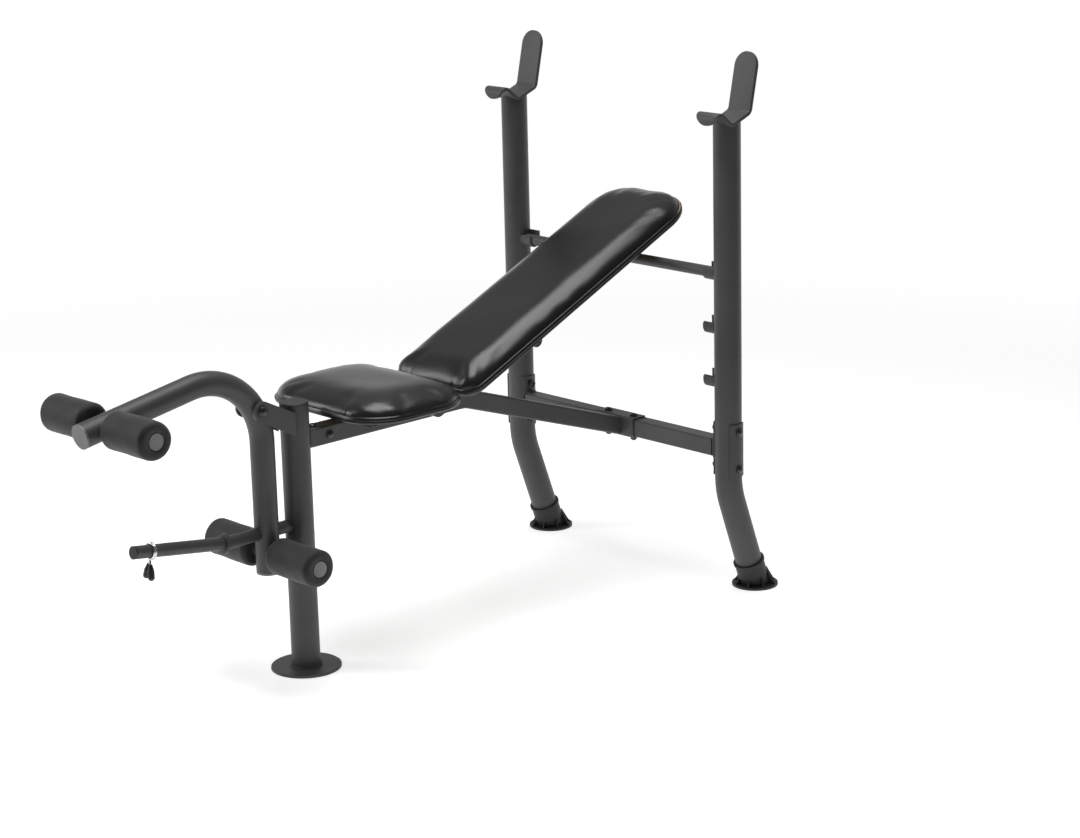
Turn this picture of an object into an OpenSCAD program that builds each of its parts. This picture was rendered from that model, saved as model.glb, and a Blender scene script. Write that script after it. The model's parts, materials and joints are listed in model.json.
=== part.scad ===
// Adjustable weight bench: two racked uprights, a low main rail to a front leg, a seat, an incline
// backrest held up by a bar in hooks, and a swinging leg developer with foam rolls and a weight post.
// X runs across the bench, +Y to the rear (the racks), +Z up. The origin is the middle of the
// footprint, on the floor.

/* [Overall] */
// Distance between the axes of the two uprights
upright_spacing = 630; // [520:5:800]
// Height of the top of the bar cradles
overall_h = 1143; // [1000:1:1300]
// Distance from the uprights' axis forward to the front leg's axis
leg_distance = 896; // [800:1:1100]

/* [Frame tube] */
// Diameter of the uprights and the front leg
frame_d = 57; // [45:1:65]
// Wall of the round frame tubes
frame_wall = 2; // [1.5:0.1:3]
// Side of the square crossbar and main rail
square_w = 38; // [30:1:45]
// Wall of the square tubes
square_wall = 2; // [1.5:0.1:3]
// Corner radius of the square tubes
square_r = 4; // [3:0.5:6]

/* [Uprights] */
// Height where the straight part of an upright ends
kick_h = 262; // [240:1:300]
// Angle of the rearward kick at the foot
kick_angle = 20; // [10:1:25]
// Bend radius of the kick, at the tube's axis
kick_r = 180; // [120:5:260]

/* [Rear feet] */
// Diameter of a foot's flange
foot_flange_d = 98; // [90:1:120]
// Thickness of a foot's flange
foot_flange_t = 5; // [4:0.5:8]
// Wall of the foot's sleeve
foot_wall = 3; // [2:0.5:4]
// Height of the sleeve's upper rim, at its middle
foot_sleeve_h = 58; // [45:1:70]
// Number of gusset ribs round the sleeve
foot_ribs = 8; // [4:1:10]

/* [Bar cradles] */
// Width of a cradle plate
cradle_w = 60; // [45:1:64]
// Thickness of a cradle plate
cradle_t = 8; // [5:0.5:9]
// Height of the inside of the V above the floor
cradle_v_h = 1006; // [900:1:1100]
// Distance of the V in front of the upright's axis
cradle_v_fwd = 15; // [10:1:22]
// Slope of the V's front side
cradle_front_angle = 39; // [20:1:45]
// Slope of the V's rear side
cradle_rear_angle = 21; // [15:1:30]
// Lean of the back plate from upright
cradle_lean = 12.5; // [5:0.5:20]

/* [Bar hooks] */
// Height of the support bar's axis in the top hooks
hook_top_h = 690; // [650:1:720]
// Height between one hook and the next
hook_pitch = 114; // [100:1:125]
// Number of hooks on each upright
hook_count = 3; // [2:1:3]
// Width of a hook's strip
hook_w = 30; // [20:1:40]
// Thickness of a hook's strip
hook_t = 4; // [3:0.5:5]
// Height of the front lip above the bar's axis
hook_lip = 8; // [6:1:12]
// Height of the hook's rear side above the bar's axis
hook_back = 19; // [14:1:24]

/* [Support bar] */
// Diameter of the support bar
bar_d = 23; // [20:0.5:25]
// Gap between the bar and a hook
bar_gap = 0.3; // [0.3:0.1:1]

/* [Crossbar] */
// Height of the crossbar's axis
crossbar_h = 319; // [300:1:340]
// Height of the saddle plates
saddle_h = 114; // [100:1:124]
// Thickness of the saddle plates
saddle_t = 3; // [2:0.5:4]
// Half of the angle that a saddle wraps round the tube
saddle_wrap = 42; // [30:1:50]
// Distance of each saddle bolt from the crossbar's axis
saddle_bolt_rise = 40; // [36:1:46]

/* [Main rail] */
// Height of the level part's axis
rail_h = 466; // [440:1:490]
// Distance of the rail's bend in front of the uprights' axis
rail_bend_fwd = 465; // [430:1:500]
// Bend radius of the rail, at its axis
rail_bend_r = 70; // [60:5:100]

/* [Rail clamp] */
// Length of the U-shaped clamp along the crossbar
clamp_len = 114; // [100:1:140]
// Thickness of the clamp plate
clamp_t = 3; // [2:0.5:4]
// Distance between the two clamp bolts
clamp_bolt_spacing = 76; // [66:1:84]

/* [Front leg] */
// Height of the leg tube's top
leg_h = 540; // [520:1:560]
// Diameter of the foot disc
foot_disc_d = 140; // [120:1:160]
// Thickness of the foot disc
foot_disc_t = 5; // [3:0.5:6]
// Length of the stub that the rail slides over
stub_len = 85; // [60:1:110]

/* [Fasteners] */
// Diameter of the frame bolts
bolt_d = 8; // [6:1:10]
// Diameter of the pivot bolts
pivot_d = 10; // [8:1:12]

/* [Seat] */
// Width of the seat
seat_w = 356; // [300:1:380]
// Length of the seat, front to back
seat_l = 268; // [240:1:280]
// Distance from the front leg's axis back to the seat's front edge
seat_setback = 47; // [40:1:60]
// Radius of the seat's corners
seat_corner_r = 92; // [60:1:110]
// Full thickness of a pad with its board
pad_t = 46; // [40:1:55]
// Thickness of the plywood boards
board_t = 12; // [9:0.5:16]
// Height of the seat's brackets between the rail and the board
seat_bracket_h = 23; // [15:1:30]

/* [Backrest] */
// Width of the backrest
back_w = 252; // [220:1:280]
// Length of the backrest
back_l = 730; // [650:1:760]
// Radius of the corners at the backrest's lower end
back_low_r = 34; // [20:1:60]
// Radius of the corners at the backrest's upper end
back_top_r = 84; // [50:1:100]
// Distance from the backrest's pivot up to the start of its pad
back_start = 28; // [24:1:40]
// Distance of the backrest's pivot in front of the uprights' axis
back_pivot_fwd = 560; // [540:1:580]
// Height of the backrest's pivot
back_pivot_h = 470; // [462:1:474]
// Depth of the backrest's side rails
back_rail_depth = 38; // [30:1:40]
// Width of the backrest's side rails
back_rail_w = 20; // [16:1:25]
// Washer gap between the main rail and each side rail
back_washer_t = 2; // [1.5:0.5:3]

/* [Leg developer] */
// Diameter of the lever's tube
lever_d = 48; // [40:1:50]
// Wall of the lever's tube
lever_wall = 2; // [1.5:0.1:3]
// Distance from the front leg's axis to the lever's lower arm
lever_fwd = 81; // [76:1:100]
// Height of the lever's lower end
lever_low_h = 220; // [180:1:240]
// Height where the lower arm meets the bend
lever_bend_h = 480; // [470:1:500]
// Bend radius of the lever, at its axis
lever_bend_r = 138; // [130:1:160]
// Angle of the lever's bend
lever_bend_angle = 100; // [90:1:110]
// Length of the straight upper arm
upper_arm_l = 247; // [220:1:300]
// Place of the pivot round the bend, from the lower arm
pivot_turn = 29; // [25:1:35]
// Thickness of the pivot plates
pivot_plate_t = 4; // [3:0.5:5]
// Gap between the lever's tube and each pivot plate
pivot_gap = 1.5; // [1.2:0.1:2]

/* [Foam rolls] */
// Diameter of a foam roll
foam_d = 74; // [60:1:90]
// Length of a foam roll
foam_l = 128; // [100:1:140]
// Distance from the lever's middle to a roll's outer end
foam_reach = 161; // [150:1:190]
// Diameter of the tubes that carry the rolls
roller_tube_d = 25.4; // [20:0.1:30]
// Height of the lower rolls' axis above the lever's lower end
low_roller_rise = 37; // [30:1:60]
// Distance of the upper rolls' axis from the upper arm's end
up_roller_inset = 51; // [40:1:70]

/* [Weight post] */
// Diameter of the weight post
post_d = 25.4; // [25.4:0.1:28]
// Height of the post above the lever's lower end
post_rise = 78; // [70:1:100]
// Length of the level part in front of the lever's axis
post_level_l = 98; // [80:1:120]
// Length of the inclined part that carries the plates
post_load_l = 212; // [180:1:240]
// Incline of the loading part
post_angle = 8.6; // [0:0.1:12]
// Diameter of the stop collar
collar_d = 40; // [34:1:60]
// Thickness of the stop collar
collar_t = 5; // [4:0.5:8]
// Length of the slightly smaller land under the spring clip
clip_land_l = 66; // [56:1:80]
// Wire thickness of the spring clip
clip_wire_d = 4; // [3:0.1:5]
// Distance of the clip's middle from the post's end
clip_inset = 36; // [32:1:42]

/* [Hidden] */
$fn = 48;

frame_r = frame_d / 2;
square_in = square_w - 2 * square_wall;
side_x = upright_spacing / 2;
hole_gap = 0.25;
seam_gap = 0.3;
// A bend runs this angle past its ends, and is this much wider than the straight lengths it joins
bend_lap = 0.3;
bend_swell = 0.1;
clamp_slack = 0.1;

// The kick moves the feet back by the arc's share and the straight part's share
kick_arc_y = kick_r * (1 - cos(kick_angle));
kick_arc_z = kick_r * sin(kick_angle);
foot_y = kick_arc_y + (kick_h - kick_arc_z - foot_flange_t) * tan(kick_angle);
foot_floor = foot_flange_t - 1;

// Lever places, in a frame whose Y starts at the uprights' axis
lever_y = -leg_distance - lever_fwd;
bend_y = lever_y - lever_bend_r;
arm_dir = [0, -sin(lever_bend_angle), cos(lever_bend_angle)];
arm_start = [0, bend_y + lever_bend_r * cos(lever_bend_angle),
             lever_bend_h + lever_bend_r * sin(lever_bend_angle)];
arm_end = arm_start + upper_arm_l * arm_dir;
pivot_y = bend_y + lever_bend_r * cos(pivot_turn);
pivot_h = lever_bend_h + lever_bend_r * sin(pivot_turn);
plug_t = 4;

// The row's origin is the middle of the footprint, so everything moves by origin_shift
front_y = arm_end[1] + plug_t * arm_dir[1] + lever_d / 2 * arm_dir[2];
rear_y = foot_y + foot_flange_d / 2;
origin_shift = -(front_y + rear_y) / 2;

// Plan of the rail's slope from its bend down to the crossbar
rail_end_y = -square_w / 2 - clamp_t - clamp_slack;
rail_slope = atan((rail_h - crossbar_h) / (rail_bend_fwd + rail_end_y));
rail_top_h = rail_h + square_w / 2;

// Backrest incline, from the pivot to where the side rails rest on the bar
bar_r = bar_d / 2;
back_reach = norm([back_pivot_fwd, hook_top_h - back_pivot_h]);
back_angle = atan((hook_top_h - back_pivot_h) / back_pivot_fwd)
    + asin((back_rail_depth / 2 + bar_r + bar_gap) / back_reach);
seat_h = rail_top_h + seat_bracket_h;
seat_front_y = -leg_distance + seat_setback;

// ---- helpers -------------------------------------------------------------------------------

function unit(v) = v / norm(v);

// Points of an arc of radius r that rounds the corner b between a and c, in n steps
function corner_arc(a, b, c, r, n) =
    let (u = unit(a - b), v = unit(c - b), half = acos(u * v) / 2, reach = r / tan(half),
         m = b + unit(u + v) * r / sin(half), p = b + u * reach - m, q = b + v * reach - m,
         swing = 180 - 2 * half)
    [for (i = [0:n]) m + (p * sin(swing * (1 - i / n)) + q * sin(swing * i / n)) / sin(swing)];

// A path through pts with every inner corner rounded to its own radius
function rounded_path(pts, radii, n = 6) = [
    pts[0],
    for (i = [1:len(pts) - 2]) each corner_arc(pts[i - 1], pts[i], pts[i + 1], radii[i - 1], n),
    pts[len(pts) - 1]
];

function path_side(path, i) =
    let (a = path[max(i - 1, 0)], b = path[min(i + 1, len(path) - 1)], d = unit(b - a)) [-d[1], d[0]];

// A strip of thickness t along a path, drawn on both sides of it
module strip(path, t) {
    far = len(path) - 1;
    polygon(concat(
        [for (i = [0:far]) path[i] + path_side(path, i) * t / 2],
        [for (i = [far:-1:0]) path[i] - path_side(path, i) * t / 2]
    ));
}

// Extrudes a drawing of the side view (first axis Y, second axis Z) by w across X, from x = at - w/2
module across(w, at = 0) translate([at - w / 2, 0, 0]) rotate([90, 0, 90]) linear_extrude(w) children();

// A round bar along X between two places
module bar_x(x0, x1, y, z, d) translate([x0, y, z]) rotate([0, 90, 0]) cylinder(d = d, h = x1 - x0);

// A round tube along X between two places
module tube_x(x0, x1, y, z, d, bore) difference() {
    bar_x(x0, x1, y, z, d);
    bar_x(x0 - 1, x1 + 1, y, z, bore);
}

// A square with round corners, drawn from four circles and two squares
module round_square(w, r) {
    square([w, w - 2 * r], center = true);
    square([w - 2 * r, w], center = true);
    for (sx = [-1, 1], sy = [-1, 1]) translate([sx * (w / 2 - r), sy * (w / 2 - r)]) circle(r);
}

// A rectangle, its lower corners rounded to r0 and its upper corners to r1; it grows along +Y
module pad_outline(w, l, r0, r1) {
    translate([-w / 2, r0]) square([w, l - r0 - r1]);
    translate([-w / 2 + r0, 0]) square([w - 2 * r0, r0 + 1]);
    translate([-w / 2 + r1, l - r1 - 1]) square([w - 2 * r1, r1 + 1]);
    for (s = [-1, 1]) {
        translate([s * (w / 2 - r0), r0]) circle(r0);
        translate([s * (w / 2 - r1), l - r1]) circle(r1);
    }
}

// A domed bolt head on the plane z = 0, with a flat washer under it
module dome_head(d) {
    cylinder(d = 2.4 * d, h = 0.2 * d);
    translate([0, 0, 0.2 * d]) intersection() {
        translate([0, 0, -0.75 * d]) sphere(r = 1.3 * d);
        cylinder(d = 2 * d, h = 0.6 * d);
    }
}

// A domed cap nut on the plane z = 0, hexagonal below its dome
module cap_nut(d) {
    cylinder(d = 2.4 * d, h = 0.2 * d);
    translate([0, 0, 0.2 * d]) cylinder(d = 1.9 * d, h = 0.7 * d, $fn = 6);
    translate([0, 0, 0.9 * d]) intersection() {
        translate([0, 0, -0.4 * d]) sphere(r = 0.95 * d);
        cylinder(d = 1.7 * d, h = 0.6 * d);
    }
}

// A bolt along Z: its shank runs from z = 0 down by l, its head is above
module bolt(d, l) {
    dome_head(d);
    translate([0, 0, -l]) cylinder(d = d, h = l + 0.1);
}

// Moves a piece from the uprights' frame to the row's own origin
module placed() translate([0, origin_shift, 0]) children();

// ---- uprights --------------------------------------------------------------------------------

// The upright's solid at a given diameter, from just over the floor to the height top
module upright_shape(d, top) {
    translate([0, 0, kick_h]) cylinder(d = d, h = top - kick_h);
    translate([0, kick_r, kick_h]) rotate([0, 90, 0]) rotate([0, 0, -90 - bend_lap])
        rotate_extrude(angle = kick_angle + 2 * bend_lap, $fn = 96)
            translate([kick_r, 0]) circle(d = d + bend_swell);
    kick_straight(d, (kick_h - kick_arc_z) / cos(kick_angle) + d);
}

// The straight part of the kick, running down and back from the bend
module kick_straight(d, l) translate([0, kick_arc_y, kick_h - kick_arc_z]) rotate([180 + kick_angle, 0, 0])
    cylinder(d = d, h = l);

cradle_mid = cradle_t / 2;
cradle_corner_y = -cradle_v_fwd;
cradle_front_l = 54.5;
cradle_rear_l = 58.5;
cradle_lip_l = 31.5;
cradle_lip_drop = 82;
cradle_front_y = cradle_corner_y - cradle_front_l * cos(cradle_front_angle);

// Middle line of the cradle strip, from the tip of its lip to the top of its back plate
function cradle_path() =
    let (v = [cradle_corner_y, cradle_v_h - cradle_mid],
         front = v + cradle_front_l * [-cos(cradle_front_angle), sin(cradle_front_angle)],
         lip = front + cradle_lip_l * [-cos(cradle_lip_drop), -sin(cradle_lip_drop)],
         rear = v + cradle_rear_l * [cos(cradle_rear_angle), sin(cradle_rear_angle)],
         rise = overall_h - rear[1] - cradle_mid * sin(cradle_lean),
         top = rear + rise * [tan(cradle_lean), 1])
    rounded_path([lip, front, v, rear, top], [10.5, 10, 14]);

// Everything above the cradle strip's underside, used to cut the tube to fit under it
module above_cradle() {
    path = cradle_path();
    across(frame_d + 20) polygon(concat(
        [for (i = [0:len(path) - 1]) path[i] - path_side(path, i) * (cradle_mid + 0.01)],
        [[frame_d + cradle_w, overall_h], [-2 * frame_d, overall_h]]
    ));
}

module upright() {
    color("dimgray") placed() difference() {
        upright_shape(frame_d, cradle_v_h + frame_r);
        upright_shape(frame_d - 2 * frame_wall, cradle_v_h + frame_d);
        above_cradle();
        translate([-frame_d * 2, -frame_d * 3, -frame_d * 2 + foot_floor])
            cube([frame_d * 4, frame_d * 8, frame_d * 2]);
        for (s = [-1, 1])
            bar_x(-frame_d, frame_d, 0, crossbar_h + s * saddle_bolt_rise, bolt_d + 2 * hole_gap);
    }
}

// The bent strip; its top end is a half circle seen from the front, its lip's end one in the lip's plane
module cradle() {
    end_r = cradle_w / 2;
    lip = cradle_path()[0];
    reach = 25;
    color("dimgray") placed() intersection() {
        across(cradle_w) strip(cradle_path(), cradle_t);
        union() {
            translate([-end_r, -100, cradle_v_h - 60]) cube([cradle_w, 300, overall_h - cradle_v_h + 60 - end_r]);
            translate([0, 0, overall_h - end_r]) rotate([90, 0, 0])
                cylinder(r = end_r, h = 400, center = true, $fn = 96);
        }
        union() {
            translate([-end_r, cradle_front_y + cradle_mid + 1, 0]) cube([cradle_w, 300, overall_h + 10]);
            translate([0, lip[0], lip[1]]) rotate([cradle_lip_drop, 0, 0]) {
                translate([-end_r, end_r, -reach]) cube([cradle_w, 4 * end_r, 2 * reach]);
                translate([0, end_r, 0]) cylinder(r = end_r, h = 2 * reach, center = true, $fn = 96);
            }
        }
    }
}

// One J-shaped hook for the support bar, its bar axis at the height z; it opens upwards
module hook(z) {
    r = bar_r + bar_gap;
    translate([0, 0, z]) across(hook_w) difference() {
        union() {
            circle(r + hook_t);
            translate([-r - hook_t, 0]) square([hook_t, hook_lip]);
            translate([r, 0]) square([hook_t, hook_back]);
        }
        circle(r);
        translate([-r, 0]) square([2 * r, frame_d]);
    }
}

module bar_hooks(side) {
    inner = side_x - frame_r;
    color("dimgray") placed() difference() {
        for (i = [0:hook_count - 1])
            translate([side * (inner + 3 - hook_w / 2), 0, 0]) hook(hook_top_h - i * hook_pitch);
        translate([side * side_x, 0, 0]) cylinder(d = frame_d, h = overall_h, $fn = 96);
    }
}

module foot_cap() {
    sleeve_r = frame_r + foot_wall;
    rib_h = foot_sleeve_h * 0.62;
    color("black") placed() difference() {
        union() {
            translate([0, foot_y, 0]) cylinder(d = foot_flange_d, h = foot_flange_t, $fn = 96);
            intersection() {
                translate([0, foot_y, foot_flange_t / 2]) cylinder(d = foot_flange_d * 2, h = foot_sleeve_h * 2);
                translate([0, foot_y, foot_flange_t]) rotate([kick_angle, 0, 0]) {
                    translate([0, 0, -frame_d]) cylinder(r = sleeve_r, h = frame_d + foot_sleeve_h - 1, $fn = 96);
                    translate([0, 0, foot_sleeve_h - 5]) cylinder(r = sleeve_r + 2, h = 5, $fn = 96);
                }
            }
            for (i = [0:foot_ribs - 1])
                translate([0, foot_y, 0]) rotate([0, 0, (i + 0.5) * 360 / foot_ribs]) rotate([90, 0, 0])
                    linear_extrude(3, center = true)
                        polygon([[10, 1], [foot_flange_d / 2 - 4, 1], [foot_flange_d / 2 - 4, foot_flange_t + 1],
                                 [sleeve_r - 4, rib_h], [10, rib_h]]);
        }
        intersection() {
            kick_straight(frame_d, 2 * kick_h);
            translate([-foot_flange_d, foot_y - foot_flange_d, foot_floor])
                cube([2 * foot_flange_d, 2 * foot_flange_d, kick_h / 2]);
        }
    }
}

// ---- crossbar --------------------------------------------------------------------------------

saddle_in_r = frame_r;
saddle_out_r = frame_r + saddle_t;

module crossbar() {
    end_x = side_x - saddle_out_r;
    color("dimgray") placed() difference() {
        translate([-end_x, 0, crossbar_h]) rotate([90, 0, 90]) linear_extrude(2 * end_x) difference() {
            round_square(square_w, square_r);
            round_square(square_in, square_r - square_wall);
        }
        for (s = [-1, 1]) {
            translate([s * side_x, 0, 0]) cylinder(r = saddle_out_r, h = overall_h, $fn = 96);
            translate([s * clamp_bolt_spacing / 2, 0, crossbar_h - square_w])
                cylinder(d = bolt_d + 2 * hole_gap, h = 2 * square_w);
        }
    }
}

// A saddle plate that wraps the tube on the side that faces +X, or -X when turn is 180
module saddle(turn) {
    color("dimgray") placed() difference() {
        translate([0, 0, crossbar_h - saddle_h / 2]) rotate([0, 0, turn - saddle_wrap])
            rotate_extrude(angle = 2 * saddle_wrap, $fn = 96)
                translate([saddle_in_r, 0]) square([saddle_t, saddle_h]);
        for (s = [-1, 1])
            bar_x(-2 * frame_d, 2 * frame_d, 0, crossbar_h + s * saddle_bolt_rise, bolt_d + 2 * hole_gap);
    }
}

// The four bolts through the uprights: heads outside, cap nuts against the inner saddles
module upright_bolts() {
    color("black") placed() for (side = [-1, 1], s = [-1, 1])
        translate([side * (side_x + saddle_out_r), 0, crossbar_h + s * saddle_bolt_rise])
            rotate([0, side * 90, 0]) bolt(bolt_d, 2 * saddle_out_r + 2);
}

module upright_nuts() {
    color("black") placed() for (side = [-1, 1], s = [-1, 1])
        translate([side * (side_x - saddle_out_r), 0, crossbar_h + s * saddle_bolt_rise])
            rotate([0, -side * 90, 0]) difference() {
                cap_nut(bolt_d);
                translate([0, 0, -1]) cylinder(d = bolt_d, h = 3);
            }
}

// ---- main rail -------------------------------------------------------------------------------

// The rail's solid for a given section: level from the leg, one bend, then down to the crossbar
module rail_shape(w, r) {
    bend_reach = rail_bend_r * tan(rail_slope / 2);
    level_end = -rail_bend_fwd - bend_reach;
    down_l = (rail_bend_fwd + frame_d) / cos(rail_slope);
    translate([0, -leg_distance, rail_h]) rotate([-90, 0, 0])
        linear_extrude(level_end + leg_distance) round_square(w, r);
    translate([0, level_end, rail_h - rail_bend_r]) rotate([0, 90, 0]) rotate([0, 0, 180 - rail_slope - bend_lap])
        rotate_extrude(angle = rail_slope + 2 * bend_lap, $fn = 96)
            translate([rail_bend_r, 0]) round_square(w + bend_swell, r);
    translate([0, -rail_bend_fwd, rail_h]) rotate([-90 - rail_slope, 0, 0])
        translate([0, 0, bend_reach]) linear_extrude(down_l - bend_reach) round_square(w, r);
}

module main_rail() {
    color("dimgray") placed() difference() {
        rail_shape(square_w, square_r);
        rail_shape(square_in, square_r - square_wall);
        translate([0, -leg_distance, 0]) cylinder(r = frame_r + 1, h = overall_h, $fn = 96);
        translate([-frame_d, rail_end_y, 0]) cube([2 * frame_d, 4 * frame_d, overall_h]);
        bar_x(-frame_d, frame_d, -back_pivot_fwd, back_pivot_h, pivot_d + 2 * hole_gap);
        bar_x(-frame_d, frame_d, stub_bolt_y, rail_h, bolt_d + 2 * hole_gap);
        translate([0, stub_top_bolt_y, rail_h]) cylinder(d = bolt_d + 2 * hole_gap, h = frame_d);
        for (y = seat_bolt_ys) translate([0, y, rail_h]) cylinder(d = bolt_d + 2 * hole_gap, h = frame_d);
    }
}

// The U-shaped plate on the rail's end; it grips the crossbar from above, in front and below
module rail_clamp() {
    half = square_w / 2 + clamp_t / 2 + clamp_slack;
    path = rounded_path(
        [[square_w / 2 - 2, half], [-half, half], [-half, -half], [square_w / 2 - 2, -half]], [4, 4], 4);
    color("dimgray") placed() difference() {
        translate([0, 0, crossbar_h]) across(clamp_len) strip(path, clamp_t);
        for (s = [-1, 1]) translate([s * clamp_bolt_spacing / 2, 0, crossbar_h - square_w])
            cylinder(d = bolt_d + 2 * hole_gap, h = 2 * square_w);
    }
}

clamp_face_z = square_w / 2 + clamp_t + clamp_slack;

module rail_clamp_bolts() {
    color("black") placed() for (s = [-1, 1])
        translate([s * clamp_bolt_spacing / 2, 0, crossbar_h + clamp_face_z])
            bolt(bolt_d, 2 * clamp_face_z + 1);
}

module rail_clamp_nuts() {
    color("black") placed() for (s = [-1, 1])
        translate([s * clamp_bolt_spacing / 2, 0, crossbar_h - clamp_face_z]) rotate([180, 0, 0])
            difference() {
                cap_nut(bolt_d);
                translate([0, 0, -1]) cylinder(d = bolt_d, h = 2);
            }
}

// ---- front leg -------------------------------------------------------------------------------

stub_w = square_in - 0.4;
stub_wall = 3;
stub_bolt_y = -leg_distance + frame_r + 42;
stub_top_bolt_y = -leg_distance + frame_r + 14;
seat_bolt_ys = [seat_front_y + 84, seat_front_y + 190];

module front_leg() {
    color("dimgray") placed() translate([0, -leg_distance, foot_disc_t]) difference() {
        cylinder(d = frame_d, h = leg_h - foot_disc_t, $fn = 96);
        translate([0, 0, -1]) cylinder(d = frame_d - 2 * frame_wall, h = leg_h, $fn = 96);
    }
}

module front_leg_cap() {
    color("black") placed() translate([0, -leg_distance, leg_h]) {
        cylinder(d = frame_d, h = 2, $fn = 96);
        translate([0, 0, 2]) cylinder(d1 = frame_d, d2 = frame_d - 6, h = 1.5, $fn = 96);
        translate([0, 0, -18]) cylinder(d = frame_d - 2 * frame_wall, h = 18, $fn = 96);
    }
}

module front_foot_disc() {
    color("dimgray") placed() translate([0, -leg_distance, 0]) {
        cylinder(d = foot_disc_d, h = foot_disc_t - 1, $fn = 128);
        translate([0, 0, foot_disc_t - 1]) cylinder(d1 = foot_disc_d, d2 = foot_disc_d - 3, h = 1, $fn = 128);
    }
}

// Square stub welded to the back of the leg; the rail slides over it
module rail_stub() {
    color("dimgray") placed() difference() {
        translate([0, -leg_distance, rail_h]) rotate([-90, 0, 0])
            linear_extrude(frame_r + stub_len) difference() {
                round_square(stub_w, square_r - square_wall);
                square(stub_w - 2 * stub_wall, center = true);
            }
        translate([0, -leg_distance, 0]) cylinder(d = frame_d, h = leg_h, $fn = 96);
        bar_x(-frame_d, frame_d, stub_bolt_y, rail_h, bolt_d + 2 * hole_gap);
        for (y = concat(stub_top_bolt_y, seat_bolt_ys))
            translate([0, y, rail_h]) cylinder(d = bolt_d + 2 * hole_gap, h = frame_d);
    }
}

// A cross bolt with its nut, and a short bolt from above, through the rail and the stub
module rail_stub_bolts() {
    color("black") placed() {
        translate([square_w / 2, stub_bolt_y, rail_h]) rotate([0, 90, 0]) bolt(bolt_d, square_w);
        translate([-square_w / 2, stub_bolt_y, rail_h]) rotate([0, -90, 0]) cap_nut(bolt_d);
        translate([0, stub_top_bolt_y, rail_top_h]) bolt(bolt_d, 12);
    }
}

// ---- lever pivot -----------------------------------------------------------------------------

plate_in_x = lever_d / 2 + pivot_gap;
plate_nose_r = 20;
plate_rear_y = -leg_distance - frame_r + 8.5;
plate_web_t = 4;
plate_rear_top = pivot_h - 18;
plate_rear_low = pivot_h - 65;

// A round nose about the pivot and two straight edges that leave it towards the leg
module pivot_plate_outline() {
    high = [plate_rear_y - pivot_y, plate_rear_top - pivot_h];
    low = [plate_rear_y - pivot_y, plate_rear_low - pivot_h];
    a0 = atan2(high[1], high[0]) + acos(plate_nose_r / norm(high));
    a1 = atan2(low[1], low[0]) - acos(plate_nose_r / norm(low)) + 360;
    nose = [for (i = [0:24]) plate_nose_r * [cos(a0 + (a1 - a0) * i / 24), sin(a0 + (a1 - a0) * i / 24)]];
    translate([pivot_y, pivot_h]) polygon(concat([low, high], nose));
}

module lever_pivot_plates() {
    color("dimgray") placed() difference() {
        for (s = [-1, 1])
            across(pivot_plate_t, s * (plate_in_x + pivot_plate_t / 2)) pivot_plate_outline();
        translate([0, -leg_distance, 0]) cylinder(d = frame_d, h = leg_h, $fn = 96);
        bar_x(-frame_d, frame_d, pivot_y, pivot_h, pivot_d + 2 * hole_gap);
    }
}

// The bracket's web: it fills the space between the plates and the front of the leg
module pivot_bracket_web() {
    front = -leg_distance - frame_r - plate_web_t;
    color("dimgray") placed() difference() {
        translate([-plate_in_x, front, plate_rear_low + 10])
            cube([2 * plate_in_x, plate_rear_y - front, plate_rear_top - plate_rear_low - 20]);
        translate([0, -leg_distance, 0]) cylinder(d = frame_d, h = leg_h, $fn = 96);
    }
}

module lever_pivot_bolt() {
    face = plate_in_x + pivot_plate_t;
    color("black") placed() {
        translate([face, pivot_y, pivot_h]) rotate([0, 90, 0]) bolt(pivot_d, 2 * face);
        translate([-face, pivot_y, pivot_h]) rotate([0, -90, 0]) cap_nut(pivot_d);
    }
}

// ---- seat ------------------------------------------------------------------------------------

board_inset = 6;

module seat_board() {
    color("burlywood") placed() translate([0, seat_front_y + board_inset, seat_h]) linear_extrude(board_t)
        pad_outline(seat_w - 2 * board_inset, seat_l - 2 * board_inset,
                    seat_corner_r - board_inset, seat_corner_r - board_inset);
}

// The foam and its cover, a plain slab on the board with a chamfered crown
module seat_pad() {
    color("#141414") placed() translate([0, seat_front_y, seat_h + board_t]) {
        linear_extrude(pad_t - board_t - 10) pad_outline(seat_w, seat_l, seat_corner_r, seat_corner_r);
        translate([0, 7, 0]) linear_extrude(pad_t - board_t)
            pad_outline(seat_w - 14, seat_l - 14, seat_corner_r - 7, seat_corner_r - 7);
    }
}

seat_bracket_w = 200;
seat_bracket_l = 40;
seat_bracket_t = 3;

// Two hat-shaped cross brackets that carry the board on the rail
module seat_brackets() {
    color("dimgray") placed() for (y = seat_bolt_ys) difference() {
        translate([-seat_bracket_w / 2, y - seat_bracket_l / 2, rail_top_h])
            cube([seat_bracket_w, seat_bracket_l, seat_bracket_h]);
        translate([-seat_bracket_w / 2 - 1, y - seat_bracket_l / 2 + seat_bracket_t, rail_top_h + seat_bracket_t])
            cube([seat_bracket_w + 2, seat_bracket_l - 2 * seat_bracket_t, seat_bracket_h]);
        translate([0, y, 0]) cylinder(d = bolt_d + 2 * hole_gap, h = overall_h);
    }
}

module seat_bolts() {
    color("black") placed() for (y = seat_bolt_ys)
        translate([0, y, rail_top_h + seat_bracket_t]) bolt(bolt_d, 16);
}

// ---- backrest --------------------------------------------------------------------------------

side_rail_x = square_w / 2 + back_washer_t + back_rail_w / 2;
side_rail_l = back_start + back_l - 60;
// How far up the side rails the bar touches them; the last screws keep below it at every hook
back_bar_run = sqrt(pow(back_reach, 2) - pow(back_rail_depth / 2 + bar_r + bar_gap, 2));
back_screw_runs = [60, 210, 365, back_bar_run - 85];

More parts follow.
